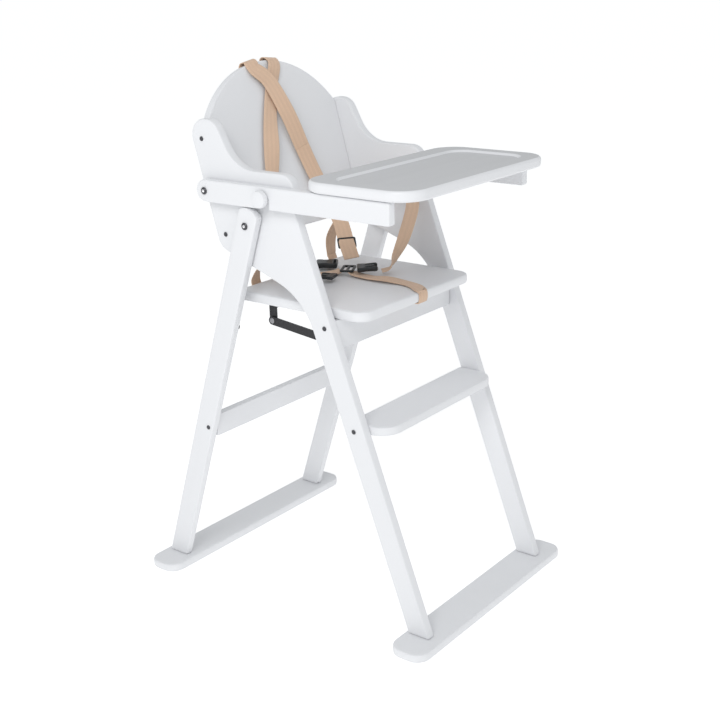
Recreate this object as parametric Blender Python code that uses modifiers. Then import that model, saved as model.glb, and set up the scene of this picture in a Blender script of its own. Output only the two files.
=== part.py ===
"""Folding wooden high chair with a swing-over tray and a webbing harness.

Metres, +Z up, front towards -Y, symmetric about X = 0.  The origin is the
bottom centre of the chair's bounding box.  "left" is the -X side, as seen
by someone who stands in front of the chair.
"""
import math

import bmesh
import bpy
from mathutils import Matrix, Vector

# ---------------------------------------------------------------- dimensions
GAP = 0.0003                 # clearance between touching pieces
ARC_STEP = math.radians(15)  # longest facet of a rounded corner
ARC_ERROR = 0.00012          # most that a facet may leave its arc
BORE_REACH = 0.04            # half length of the cutters that make the holes

# overall frame
DEPTH = 0.628                # front to back over the foot boards
HEIGHT = 0.930               # floor to the top of the backrest
EASE = 0.0035                # rounded arris of the boards
EASE_STEPS = 2

# side panels: armrest, gusset and front leg cut as one board
PANEL_INNER = 0.170          # inner face from the middle plane
PANEL_THICK = 0.018
FRONT_LEG_WIDTH = 0.0431     # measured along Y
FRONT_LEG_TOP = -0.0262      # the leg's middle at the height of the fold pivot
FRONT_FOOT_INSET = 0.0065    # the leg's middle behind the middle of its foot board
ARMREST_HEIGHT = 0.7728
ARMREST_FRONT = -0.0365
HORN_HEIGHT = 0.8510
HORN_FRONT = 0.1330
HORN_RUN = 0.547             # run of the horn's front edge for each metre of rise
HORN_ROUND = 0.029
DIP_ROUND = 0.070
PANEL_BACK = -0.0436         # the panel's back edge, carried down to the floor
PANEL_BACK_RUN = 0.28
GUSSET_HEIGHT = 0.5875       # where the gusset's lower edge crosses Y = 0
GUSSET_RISE = 0.36

# rear frame
LEG_SIDE_GAP = 0.0015        # rear leg to side panel
REAR_LEG_THICK = 0.0155
REAR_LEG_WIDTH = 0.0420      # square to the leg
REAR_FOOT_INSET = 0.003      # the leg's middle behind the middle of its foot board
REAR_LEG_CROWN = 0.0310      # radius of the leg's top about the fold pivot
FOLD_Y = 0.0581
FOLD_Z = 0.6835
RAIL_THICK = 0.016
RAIL_HEIGHT = 0.041
RAIL_MIDDLE = 0.300
RAIL_SETBACK = 0.010         # middle of the rail behind the legs' front edges
FOOT_THICK = 0.016
FOOT_WIDTH = 0.070
FOOT_ROUND = 0.026
REAR_FOOT_OUT = 0.0505       # foot boards' ends outside the legs
FRONT_FOOT_OUT = 0.0520

# backrest
BACK_THICK = 0.016
BACK_LEAN = 0.2711           # run towards the back for each metre of rise
BACK_Y = 0.1190              # middle of the board at BACK_Z
BACK_Z = 0.6597
BACK_BOTTOM = 0.640
BACK_SHOULDER = 0.8430       # where the arch meets the side edges
BACK_EASE = 0.002
BACK_ARCH = 0.200            # radius of the arch, as the straps follow it

# seat, apron and footrest
SEAT_SIDE_GAP = 0.0075       # seat board to side panel
SEAT_TOP = 0.5554
SEAT_THICK = 0.018
SEAT_FRONT = -0.153
SEAT_BACK = 0.1286
SEAT_ROUND = 0.026
SEAT_EASE = 0.005
APRON_FRONT = -0.099
APRON_THICK = 0.016
APRON_BOTTOM = 0.4840
FOOTREST_TOP = 0.3665
FOOTREST_THICK = 0.016
FOOTREST_OUT = 0.0375        # how far it stands ahead of the front legs
FOOTREST_ROUND = 0.038

# tray and its arms
ARM_THICK = 0.0155
ARM_BOTTOM = 0.7155
ARM_HEIGHT = 0.0375
ARM_FRONT = -0.238
ARM_PIVOT_Y = 0.1466
NOTCH_RADIUS = 0.0130
NOTCH_CLEARANCE = 0.0015     # notch top above the knob's neck
TRAY_OUT = 0.0063            # tray's sides outside the arms
TRAY_THICK = 0.0180
TRAY_FRONT = -0.2804
TRAY_BACK = -0.0620
TRAY_ROUND = 0.048
TRAY_EASE = 0.005
TRAY_RIM_SIDE = 0.030
TRAY_RIM_FRONT = 0.031
TRAY_RIM_REAR = 0.042
TRAY_RECESS = 0.004

# knobs that hold the tray arms
KNOB_Y = 0.0165
KNOB_Z = 0.7335
KNOB_RADIUS = 0.0145
KNOB_THICK = 0.0120
KNOB_NECK = 0.0060

# metalwork, radii unless named otherwise
BOLT_HEAD = 0.0062
BOLT_SHANK = 0.0040
BOLT_HIGH = 0.0026
BOLT_HEX = 0.0030
BOLT_HEX_DEEP = 0.0018
SCREW_HEAD = 0.0040
SCREW_SHANK = 0.0020
SCREW_HIGH = 0.0012
HOLE_CLEARANCE = 0.0004
SHANK_SHORT = 0.001          # a shank stops this far inside the last board
PLATE = 0.0025               # thickness of the steel plates
TAB = 0.0080                 # half width of the steel tabs
LINK_HALF = 0.0073           # half width of the link bars
LINK_INSET = 0.0035          # middle of the link bars inside the seat's sides
HINGE_TOP_BACK = 0.1240      # back edge of the hinge plates at their top
FLANGE = 0.016               # length of a bracket's screwed-on leg
SEAT_PIVOT = Vector((0.1340, 0.4880))
LINK_PIVOT = Vector((-0.0560, 0.5000))
RIVET = Vector((0.0486, 0.5113))
RIVET_SHANK = 0.0030
RIVET_HEAD = 0.0050
RIVET_HIGH = 0.0010
COLLAR = 0.0075
COLLAR_HIGH = 0.0020

# harness
WEB_WIDTH = 0.025
SHOULDER_WEB_WIDTH = 0.030
WEB_THICK = 0.0016
WEB_LIFT = 0.0019            # middle of the webbing above what it lies on
ROUTE_STEPS = 4              # facets between two points of a strap's route

# finishes: base colour, roughness, metallic
WHITE_PAINT = ((0.83, 0.84, 0.86), 0.42, 0.0)
BLACK_STEEL = ((0.025, 0.025, 0.028), 0.40, 0.6)
DARK_STEEL = ((0.06, 0.06, 0.065), 0.35, 0.9)
BEIGE_WEB = ((0.56, 0.38, 0.24), 0.85, 0.0)
BLACK_PLASTIC = ((0.012, 0.012, 0.014), 0.38, 0.0)

# worked out from the sizes above
PANEL_OUTER = PANEL_INNER + PANEL_THICK
LEG_INNER = PANEL_OUTER + LEG_SIDE_GAP
LEG_OUTER = LEG_INNER + REAR_LEG_THICK
ARM_OUTER = LEG_INNER + ARM_THICK
ARM_TOP = ARM_BOTTOM + ARM_HEIGHT
ARM_PIVOT_Z = ARM_BOTTOM + ARM_HEIGHT / 2
SEAT_BOTTOM = SEAT_TOP - SEAT_THICK
SEAT_HALF = PANEL_INNER - SEAT_SIDE_GAP
LINK_X = SEAT_HALF - LINK_INSET
TRAY_HALF = ARM_OUTER + TRAY_OUT
FRONT_FOOT_HALF = PANEL_OUTER + FRONT_FOOT_OUT
REAR_FOOT_HALF = LEG_OUTER + REAR_FOOT_OUT
LEG_RISE = FOLD_Z - FOOT_THICK
FRONT_SLOPE = (FRONT_LEG_TOP + (DEPTH - FOOT_WIDTH) / 2 - FRONT_FOOT_INSET) / LEG_RISE
REAR_SLOPE = ((DEPTH - FOOT_WIDTH) / 2 + REAR_FOOT_INSET - FOLD_Y) / LEG_RISE
BETWEEN_PANELS = PANEL_INNER - GAP
BACK_ANGLE = math.atan(BACK_LEAN)
SIDES = (("left", -1), ("right", 1))
ON_SIDE = (math.pi / 2, 0, math.pi / 2)   # an outline in (Y, Z), thickness along X
ON_FRONT = (math.pi / 2, 0, 0)            # an outline in (X, Z), thickness along Y

CHAIR = bpy.data.collections.new("high_chair")
CUTTERS = bpy.data.collections.new("cutters")


# ------------------------------------------------------------------ helpers
def clear_scene():
    for obj in list(bpy.data.objects):
        bpy.data.objects.remove(obj)
    bpy.context.scene.collection.children.link(CHAIR)
    bpy.context.scene.collection.children.link(CUTTERS)


def paint(obj, look):
    colour, roughness, metallic = look
    mat = bpy.data.materials.new(obj.name + "_finish")
    mat.use_nodes = True
    shader = mat.node_tree.nodes["Principled BSDF"]
    shader.inputs["Base Color"].default_value = (*colour, 1)
    shader.inputs["Roughness"].default_value = roughness
    shader.inputs["Metallic"].default_value = metallic
    obj.data.materials.clear()
    obj.data.materials.append(mat)


def arc(centre, radius, start, end):
    """Points of an arc, angles in radians, both ends included."""
    step = min(ARC_STEP, 2 * math.acos(1 - ARC_ERROR / max(radius, 2 * ARC_ERROR)))
    count = max(2, math.ceil(abs(end - start) / step))
    angles = [start + (end - start) * i / count for i in range(count + 1)]
    return [Vector((centre[0] + radius * math.cos(a), centre[1] + radius * math.sin(a))) for a in angles]


def rounded(corners):
    """An outline from (u, v, radius) corners, each one rounded by its radius."""
    outline = []
    for i, (u, v, radius) in enumerate(corners):
        here = Vector((u, v))
        if radius == 0:
            outline.append(here)
            continue
        before = (Vector(corners[i - 1][:2]) - here).normalized()
        after = (Vector(corners[(i + 1) % len(corners)][:2]) - here).normalized()
        half = before.angle(after) / 2
        centre = here + (before + after).normalized() * radius / math.sin(half)
        first = here + before * radius / math.tan(half) - centre
        last = here + after * radius / math.tan(half) - centre
        start = math.atan2(first.y, first.x)
        turn = math.atan2(first.x * last.y - first.y * last.x, first.dot(last))
        outline.extend(arc(centre, radius, start, start + turn))
    return outline


def box_outline(u_from, v_from, u_to, v_to):
    return [Vector(p) for p in ((u_from, v_from), (u_to, v_from), (u_to, v_to), (u_from, v_to))]


def weld_caps(mesh):
    """Weld a filled curve's caps to its sides and make each cap one face."""
    bm = bmesh.new()
    bm.from_mesh(mesh)
    bmesh.ops.remove_doubles(bm, verts=bm.verts, dist=1e-5)
    bmesh.ops.dissolve_limit(bm, angle_limit=math.radians(1), verts=bm.verts, edges=bm.edges)
    bmesh.ops.recalc_face_normals(bm, faces=bm.faces)
    bm.to_mesh(mesh)
    bm.free()


def slab(name, outline, thickness, location, rotation=(0, 0, 0), ease=EASE, look=WHITE_PAINT):
    """A flat piece: a closed outline given a thickness, its arrises rounded."""
    curve = bpy.data.curves.new(name, "CURVE")
    curve.dimensions = "2D"
    curve.fill_mode = "BOTH"
    curve.extrude = thickness / 2
    spline = curve.splines.new("POLY")
    spline.points.add(len(outline) - 1)
    for point, (u, v) in zip(spline.points, outline):
        point.co = (u, v, 0, 1)
    spline.use_cyclic_u = True
    guide = bpy.data.objects.new(name + "_outline", curve)
    CHAIR.objects.link(guide)
    depsgraph = bpy.context.evaluated_depsgraph_get()
    mesh = bpy.data.meshes.new_from_object(guide.evaluated_get(depsgraph))
    bpy.data.objects.remove(guide)
    weld_caps(mesh)
    obj = bpy.data.objects.new(name, mesh)
    CHAIR.objects.link(obj)
    obj.location = location
    obj.rotation_euler = rotation
    paint(obj, look)
    if ease:
        bevel = obj.modifiers.new("arris", "BEVEL")
        bevel.width = ease
        bevel.segments = EASE_STEPS
        bevel.limit_method = "ANGLE"
        bevel.angle_limit = math.radians(50)
    return obj


def side_slab(name, outline, thickness, x, ease=EASE, look=WHITE_PAINT):
    return slab(name, outline, thickness, (x, 0, 0), ON_SIDE, ease, look)


def turned(name, profile, position, side, look, steps=16):
    """A turned piece on an axis along X; profile runs (radius, outward distance) from its tip."""
    mesh = bpy.data.meshes.new(name)
    points = [(radius, 0, out) for radius, out in profile]
    mesh.from_pydata(points, [(i, i + 1) for i in range(len(points) - 1)], [])
    obj = bpy.data.objects.new(name, mesh)
    CHAIR.objects.link(obj)
    screw = obj.modifiers.new("turn", "SCREW")
    screw.steps = steps
    screw.render_steps = steps
    screw.use_merge_vertices = True
    screw.merge_threshold = 0.00001
    obj.rotation_euler = (0, side * math.pi / 2, 0)
    obj.location = position
    paint(obj, look)
    return obj


def prism(name, radius, length, position, sides):
    """A bar along X with the given number of sides, for holes and hex sockets."""
    bm = bmesh.new()
    bmesh.ops.create_cone(bm, cap_ends=True, segments=sides, radius1=radius, radius2=radius, depth=length)
    mesh = bpy.data.meshes.new(name)
    bm.to_mesh(mesh)
    bm.free()
    obj = bpy.data.objects.new(name, mesh)
    CUTTERS.objects.link(obj)
    obj.rotation_euler = (0, math.pi / 2, 0)
    obj.location = position
    obj.hide_render = True
    obj.display_type = "WIRE"
    return obj


def subtract(obj, cutter):
    boolean = obj.modifiers.new("cut", "BOOLEAN")
    boolean.operation = "DIFFERENCE"
    boolean.solver = "EXACT"
    boolean.object = cutter


def bore(obj, radius, position):
    """A round hole along X, right through the piece."""
    name = f"bore_{len(CUTTERS.objects):02d}"
    subtract(obj, prism(name, radius + HOLE_CLEARANCE, 2 * BORE_REACH, position, 16))


def axis_at(name, y, z):
    """An empty on a joint's axis, which runs along X."""
    axis = bpy.data.objects.new(name, None)
    axis.location = (0, y, z)
    CHAIR.objects.link(axis)
    return axis


def hang(axis, pieces):
    """Parent the pieces to a joint's empty where they stand."""
    for piece in pieces:
        piece.parent = axis
        piece.matrix_parent_inverse = Matrix.Translation(-axis.location)


# --------------------------------------------------------- lines of the frame
def back_edge(z):
    """Y of the front leg's back edge at height z."""
    return FRONT_LEG_TOP + FRONT_LEG_WIDTH / 2 + FRONT_SLOPE * (z - FOLD_Z)


def front_edge(z):
    return back_edge(z) - FRONT_LEG_WIDTH


def leg_centre(z):
    """Y of the rear leg's centre line at height z."""
    return FOLD_Y + REAR_SLOPE * (FOLD_Z - z)


def crossing(slope_a, offset_a, slope_b, offset_b):
    """Where y = slope_a z + offset_a meets z = slope_b y + offset_b."""
    y = (slope_a * offset_b + offset_a) / (1 - slope_a * slope_b)
    return y, slope_b * y + offset_b


# -------------------------------------------------------------- front frame
def side_panel_outline():
    """Armrest, gusset and front leg in one outline, in (Y, Z)."""
    foot = FOOT_THICK + GAP
    knee = crossing(FRONT_SLOPE, back_edge(0), GUSSET_RISE, GUSSET_HEIGHT)
    heel = crossing(PANEL_BACK_RUN, PANEL_BACK, GUSSET_RISE, GUSSET_HEIGHT)
    chin = (ARMREST_FRONT - front_edge(0)) / FRONT_SLOPE
    dip = HORN_FRONT - HORN_RUN * (HORN_HEIGHT - ARMREST_HEIGHT)
    return rounded([
        (front_edge(foot), foot, 0),
        (back_edge(foot), foot, 0),
        (*knee, 0.120),
        (*heel, 0.030),
        (PANEL_BACK + PANEL_BACK_RUN * HORN_HEIGHT, HORN_HEIGHT, HORN_ROUND),
        (HORN_FRONT, HORN_HEIGHT, HORN_ROUND),
        (dip, ARMREST_HEIGHT, DIP_ROUND),
        (ARMREST_FRONT, ARMREST_HEIGHT, 0.026),
        (ARMREST_FRONT, chin, 0.030),
    ])


def foot_outline(half, y_from):
    y_to = y_from + FOOT_WIDTH
    return rounded([(-half, y_from, FOOT_ROUND), (half, y_from, FOOT_ROUND),
                    (half, y_to, FOOT_ROUND), (-half, y_to, FOOT_ROUND)])


def make_side_panels():
    middle = PANEL_INNER + PANEL_THICK / 2
    return {side: side_slab(f"side_panel_{label}", side_panel_outline(), PANEL_THICK, side * middle)
            for label, side in SIDES}


def make_front_foot_board():
    slab("front_foot_board", foot_outline(FRONT_FOOT_HALF, -DEPTH / 2), FOOT_THICK, (0, 0, FOOT_THICK / 2))


def make_apron():
    outline = box_outline(-BETWEEN_PANELS, APRON_BOTTOM, BETWEEN_PANELS, SEAT_BOTTOM - GAP)
    slab("seat_apron", outline, APRON_THICK, (0, APRON_FRONT + APRON_THICK / 2, 0), ON_FRONT, 0.002)


def make_footrest():
    front = front_edge(FOOTREST_TOP) - FOOTREST_OUT
    back = back_edge(FOOTREST_TOP)
    outline = rounded([(-BETWEEN_PANELS, front, FOOTREST_ROUND), (BETWEEN_PANELS, front, FOOTREST_ROUND),
                       (BETWEEN_PANELS, back, 0), (-BETWEEN_PANELS, back, 0)])
    slab("footrest", outline, FOOTREST_THICK, (0, 0, FOOTREST_TOP - FOOTREST_THICK / 2))


def make_backrest():
    """A leaning board with an arched top; the outline is measured along the board."""
    stretch = 1 / math.cos(BACK_ANGLE)
    low = (BACK_BOTTOM - BACK_Z) * stretch
    shoulder = (BACK_SHOULDER - BACK_Z) * stretch
    crown = (HEIGHT - BACK_Z - (BACK_THICK / 2 - BACK_EASE) * math.sin(BACK_ANGLE)) * stretch
    rise = crown - shoulder
    radius = (BETWEEN_PANELS ** 2 + rise ** 2) / (2 * rise)
    swing = math.asin(BETWEEN_PANELS / radius)
    arch = arc((0, crown - radius), radius, math.pi / 2 - swing, math.pi / 2 + swing)
    outline = [Vector((-BETWEEN_PANELS, low)), Vector((BETWEEN_PANELS, low))] + arch
    slab("backrest", outline, BACK_THICK, (0, BACK_Y, BACK_Z), (math.pi / 2 - BACK_ANGLE, 0, 0),
         BACK_EASE)


def make_knobs():
    """Round knobs whose necks stand out of the side panels through the arms' notches."""
    near = ARM_OUTER + LEG_SIDE_GAP - PANEL_OUTER
    far = near + KNOB_THICK
    bulge = KNOB_RADIUS * 0.25
    profile = [(0, far), (KNOB_RADIUS - bulge, far - 0.0006), (KNOB_RADIUS - bulge * 0.3, far - bulge * 0.5),
               (KNOB_RADIUS, far - bulge * 1.3), (KNOB_RADIUS, near + 0.0020), (KNOB_RADIUS - 0.0012, near),
               (KNOB_NECK, near), (KNOB_NECK, GAP), (0, GAP)]
    for label, side in SIDES:
        turned(f"arm_knob_{label}", profile, (side * PANEL_OUTER, KNOB_Y, KNOB_Z), side, WHITE_PAINT, 24)


# --------------------------------------------------------------- rear frame
def rear_leg_outline():
    """A straight leg with a crowned top, centred on the fold pivot, in (Y, Z)."""
    lean = math.atan(REAR_SLOPE)
    half = REAR_LEG_WIDTH / 2 / math.cos(lean)
    foot = FOOT_THICK + GAP
    shoulder = math.asin(REAR_LEG_WIDTH / 2 / REAR_LEG_CROWN)
    up = math.pi / 2 + lean
    crown = arc((FOLD_Y, FOLD_Z), REAR_LEG_CROWN, up - shoulder, up + shoulder)
    return [Vector((leg_centre(foot) - half, foot)), Vector((leg_centre(foot) + half, foot))] + crown


def make_rear_frame():
    middle = LEG_INNER + REAR_LEG_THICK / 2
    legs = {side: side_slab(f"rear_leg_{label}", rear_leg_outline(), REAR_LEG_THICK, side * middle)
            for label, side in SIDES}
    board = slab("rear_foot_board", foot_outline(REAR_FOOT_HALF, DEPTH / 2 - FOOT_WIDTH), FOOT_THICK,
                 (0, 0, FOOT_THICK / 2))
    half = LEG_INNER - GAP
    outline = box_outline(-half, RAIL_MIDDLE - RAIL_HEIGHT / 2, half, RAIL_MIDDLE + RAIL_HEIGHT / 2)
    rail = slab("rear_rail", outline, RAIL_THICK, (0, rail_y(), 0), ON_FRONT, 0.002)
    return legs, [board, rail]


def rail_y():
    return leg_centre(RAIL_MIDDLE) - REAR_LEG_WIDTH / 2 + RAIL_SETBACK


def make_seat_pivots(legs):
    """Shoulder pins fixed in the rear legs; the seat's hinge plates turn on them."""
    inner = SEAT_HALF - 0.0030
    profile = [(0, -GAP), (COLLAR, -GAP), (COLLAR, -GAP - COLLAR_HIGH), (BOLT_SHANK, -GAP - COLLAR_HIGH),
               (BOLT_SHANK, inner + 0.0018 - LEG_INNER), (COLLAR, inner + 0.0018 - LEG_INNER),
               (COLLAR, inner - LEG_INNER), (0, inner - LEG_INNER)]
    return [turned(f"seat_pivot_{label}", profile, (side * LEG_INNER, *SEAT_PIVOT), side, BLACK_STEEL)
            for label, side in SIDES]


# --------------------------------------------------------------------- seat
def make_seat_board():
    outline = rounded([(-SEAT_HALF, SEAT_FRONT, SEAT_ROUND), (SEAT_HALF, SEAT_FRONT, SEAT_ROUND),
                       (SEAT_HALF, SEAT_BACK, 0.010), (-SEAT_HALF, SEAT_BACK, 0.010)])
    return slab("seat_board", outline, SEAT_THICK, (0, 0, SEAT_TOP - SEAT_THICK / 2), ease=SEAT_EASE)


def make_hinge_plates():
    """Plates on the seat's sides that reach down to its pivots."""
    x = SEAT_HALF + GAP + PLATE / 2
    top = SEAT_TOP - SEAT_EASE
    outline = [Vector((HINGE_TOP_BACK - 2 * TAB, top))] + arc(SEAT_PIVOT, TAB, math.pi, 2 * math.pi) \
        + [Vector((HINGE_TOP_BACK, top))]
    pieces = []
    for label, side in SIDES:
        plate = side_slab(f"seat_hinge_plate_{label}", outline, PLATE, side * x, 0, BLACK_STEEL)
        bore(plate, BOLT_SHANK, (side * x, *SEAT_PIVOT))
        pieces.append(plate)
    return pieces


def make_link_ears():
    """Angle brackets under the seat: a flange against the board and an ear for the rivet."""
    pieces = []
    top = SEAT_BOTTOM - GAP
    outer = LINK_X - PLATE / 2 - RIVET_HIGH
    for label, side in SIDES:
        outline = [Vector(p) for p in ((outer, RIVET.y - TAB), (outer, top), (outer - FLANGE, top),
                                       (outer - FLANGE, top - PLATE), (outer - PLATE, top - PLATE),
                                       (outer - PLATE, RIVET.y - TAB))]
        outline = [Vector((side * p.x, p.y)) for p in outline]
        ear = slab(f"seat_link_ear_{label}", outline, 2 * TAB, (0, RIVET.x, 0), ON_FRONT, 0, BLACK_STEEL)
        bore(ear, RIVET_SHANK, (side * (outer - PLATE / 2), *RIVET))
        pieces.append(ear)
    return pieces


def make_apron_ears():
    """Angle brackets on the apron's back face, for the front ends of the links."""
    outer = LINK_X - PLATE / 2 - RIVET_HIGH
    face = APRON_FRONT + APRON_THICK + GAP
    for label, side in SIDES:
        outline = [Vector(p) for p in ((outer, face), (outer, LINK_PIVOT.x + TAB),
                                       (outer - PLATE, LINK_PIVOT.x + TAB), (outer - PLATE, face + PLATE),
                                       (outer - FLANGE, face + PLATE), (outer - FLANGE, face))]
        outline = [Vector((side * p.x, p.y)) for p in outline]
        ear = slab(f"apron_link_ear_{label}", outline, 2 * TAB, (0, 0, LINK_PIVOT.y), ease=0, look=BLACK_STEEL)
        bore(ear, RIVET_SHANK, (side * (outer - PLATE / 2), *LINK_PIVOT))


def rivet(name, side, pivot, inner_head):
    """A link's rivet: an outer head and a shank, with an inner head where it also holds an ear."""
    outer = LINK_X + PLATE / 2 + GAP
    profile = [(0, outer + RIVET_HIGH), (RIVET_HEAD * 0.7, outer + RIVET_HIGH), (RIVET_HEAD, outer),
               (RIVET_SHANK, outer)]
    if inner_head:
        inner = LINK_X - 1.5 * PLATE - RIVET_HIGH - GAP
        profile += [(RIVET_SHANK, inner), (RIVET_HEAD, inner), (RIVET_HEAD * 0.7, inner - RIVET_HIGH),
                    (0, inner - RIVET_HIGH)]
    else:
        end = LINK_X - PLATE / 2 - GAP
        profile += [(RIVET_SHANK, end), (0, end)]
    return turned(name, profile, (0, *pivot), side, DARK_STEEL, 12)


def make_links():
    """Flat bars from the apron's ears to the seat's ears."""
    along = (RIVET - LINK_PIVOT).normalized()
    angle = math.atan2(along.y, along.x)
    bars = []
    for label, side in SIDES:
        outline = arc(LINK_PIVOT, LINK_HALF, angle + math.pi / 2, angle + 1.5 * math.pi) \
            + arc(RIVET, LINK_HALF, angle - math.pi / 2, angle + math.pi / 2)
        bar = side_slab(f"link_bar_{label}", outline, PLATE, side * LINK_X, 0, BLACK_STEEL)
        bore(bar, RIVET_SHANK, (side * LINK_X, *RIVET))
        bore(bar, RIVET_SHANK, (side * LINK_X, *LINK_PIVOT))
        bars.append(bar)
    return bars


# --------------------------------------------------------------------- tray
def arm_outline():
    """A bar with a round rear end and a notch in its lower edge for the knob's neck."""
    middle = ARM_BOTTOM + ARM_HEIGHT / 2
    rear = arc((ARM_PIVOT_Y, middle), ARM_HEIGHT / 2, -math.pi / 2, math.pi / 2)
    notch_centre = KNOB_Z + KNOB_NECK + NOTCH_CLEARANCE - NOTCH_RADIUS
    notch = arc((KNOB_Y, notch_centre), NOTCH_RADIUS, math.pi, 0)
    front = rounded([(ARM_FRONT, ARM_TOP, 0.004), (ARM_FRONT, ARM_BOTTOM, 0.004), (KNOB_Y, ARM_BOTTOM, 0)])
    return rear + front[:-1] + [Vector((KNOB_Y - NOTCH_RADIUS, ARM_BOTTOM))] + notch \
        + [Vector((KNOB_Y + NOTCH_RADIUS, ARM_BOTTOM))]


def make_arms():
    middle = LEG_INNER + ARM_THICK / 2
    return {side: side_slab(f"tray_arm_{label}", arm_outline(), ARM_THICK, side * middle, 0.0025)
            for label, side in SIDES}


def tray_outline(side, front, rear):
    """The tray's outline, moved in by a distance on each side."""
    half = TRAY_HALF - side
    radius = TRAY_ROUND - side / 2
    return rounded([(-half, TRAY_FRONT + front, radius), (half, TRAY_FRONT + front, radius),
                    (half, TRAY_BACK - rear, radius), (-half, TRAY_BACK - rear, radius)])


def make_tray():
    """A board with rounded corners and a shallow recess inside a raised rim."""
    low = ARM_TOP + GAP
    tray = slab("tray", tray_outline(0, 0, 0), TRAY_THICK, (0, 0, low + TRAY_THICK / 2), ease=TRAY_EASE)
    floor = low + TRAY_THICK - TRAY_RECESS
    inner = tray_outline(TRAY_RIM_SIDE, TRAY_RIM_FRONT, TRAY_RIM_REAR)
    pocket = slab("tray_pocket", inner, 2 * TRAY_RECESS, (0, 0, floor + TRAY_RECESS), ease=0)
    CHAIR.objects.unlink(pocket)
    CUTTERS.objects.link(pocket)
    pocket.hide_render = True
    pocket.display_type = "WIRE"
    subtract(tray, pocket)
    return tray


# ---------------------------------------------------------------- fasteners
def fastener(name, side, face, through, position, radii, high, look):
    """A head on an outer face and a shank through the boards behind it."""
    head, shank = radii
    profile = [(0, GAP + high), (head - high * 0.5, GAP + high), (head, GAP + high * 0.5), (head, GAP),
               (shank, GAP), (shank, SHANK_SHORT - through), (0, SHANK_SHORT - through)]
    return turned(name, profile, (side * face, *position), side, look)


def hex_socket(bolt, side, face, position):
    depth = BOLT_HIGH + GAP
    middle = side * (face + depth)
    subtract(bolt, prism(f"socket_{bolt.name}", BOLT_HEX, 2 * BOLT_HEX_DEEP, (middle, *position), 6))


def pivot_bolt(name, side, face, boards, position):
    """A hex socket bolt and its hole through the outer board and the side panel."""
    through = face - PANEL_INNER
    bolt = fastener(name, side, face, through, position, (BOLT_HEAD, BOLT_SHANK), BOLT_HIGH, DARK_STEEL)
    hex_socket(bolt, side, face, position)
    for board in boards:
        bore(board, BOLT_SHANK, (side * face, *position))
    return bolt


def wood_screw(name, side, face, thick, board, position):
    bore(board, SCREW_SHANK, (side * face, *position))
    return fastener(name, side, face, thick, position, (SCREW_HEAD, SCREW_SHANK), SCREW_HIGH, DARK_STEEL)


def screw_places():
    """Where the side panels are screwed to the boards between them: name and (Y, Z)."""
    upper = HORN_HEIGHT - 0.0332
    apron_z = SEAT_BOTTOM - 0.010
    footrest_z = FOOTREST_TOP - FOOTREST_THICK / 2
    return (("backrest_screw_upper", (BACK_Y + BACK_LEAN * (upper - BACK_Z), upper)),
            ("backrest_screw_lower", (BACK_Y, BACK_Z)),
            ("apron_screw", (APRON_FRONT + APRON_THICK / 2, apron_z)),
            ("footrest_screw", (back_edge(footrest_z) - FRONT_LEG_WIDTH / 2, footrest_z)))


# ------------------------------------------------------------------ harness
def blended(points, i, t):
    """A smooth curve through the points: Catmull-Rom between points i and i + 1."""
    p0 = points[max(i - 1, 0)]
    p1 = points[i]
    p2 = points[i + 1]
    p3 = points[min(i + 2, len(points) - 1)]
    return 0.5 * (2 * p1 + (p2 - p0) * t + (2 * p0 - 5 * p1 + 4 * p2 - p3) * t * t
                  + (3 * p1 - p0 - 3 * p2 + p3) * t ** 3)


def strap(name, route, width=WEB_WIDTH):
    """Webbing along a route of (centre, direction across the strap) pairs."""
    centres = [Vector(centre) for centre, _ in route]
    across = [Vector(side).normalized() for _, side in route]
    rows = []
    for i in range(len(route) - 1):
        rows += [(blended(centres, i, k / ROUTE_STEPS), blended(across, i, k / ROUTE_STEPS))
                 for k in range(ROUTE_STEPS)]
    rows.append((centres[-1], across[-1]))
    verts = []
    for centre, side in rows:
        reach = side.normalized() * width / 2
        verts += [centre - reach, centre + reach]
    faces = [(2 * i, 2 * i + 1, 2 * i + 3, 2 * i + 2) for i in range(len(rows) - 1)]
    mesh = bpy.data.meshes.new(name)
    mesh.from_pydata(verts, [], faces)
    obj = bpy.data.objects.new(name, mesh)
    CHAIR.objects.link(obj)
    solid = obj.modifiers.new("webbing", "SOLIDIFY")
    solid.thickness = WEB_THICK
    solid.offset = 0
    paint(obj, BEIGE_WEB)
    return obj


def on_back(x, z, off):
    """A point off the backrest's front face, or behind its back face if off is negative."""
    normal = Vector((0, -math.cos(BACK_ANGLE), math.sin(BACK_ANGLE)))
    middle = Vector((x, BACK_Y + BACK_LEAN * (z - BACK_Z), z))
    return middle + normal * (off + math.copysign(BACK_THICK / 2, off))


def over_the_top(x, lift):
    """The three points that carry a strap over the arched top of the backrest at x."""
    arch = HEIGHT - x * x / (2 * BACK_ARCH)
    across = (1, 0, -x / BACK_ARCH)
    tip = Vector((x, BACK_Y + BACK_LEAN * (arch - BACK_Z), arch + lift + 0.002))
    return [(on_back(x, arch - 0.010, -lift), across), (tip, across), (on_back(x, arch - 0.010, lift), across)]


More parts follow.
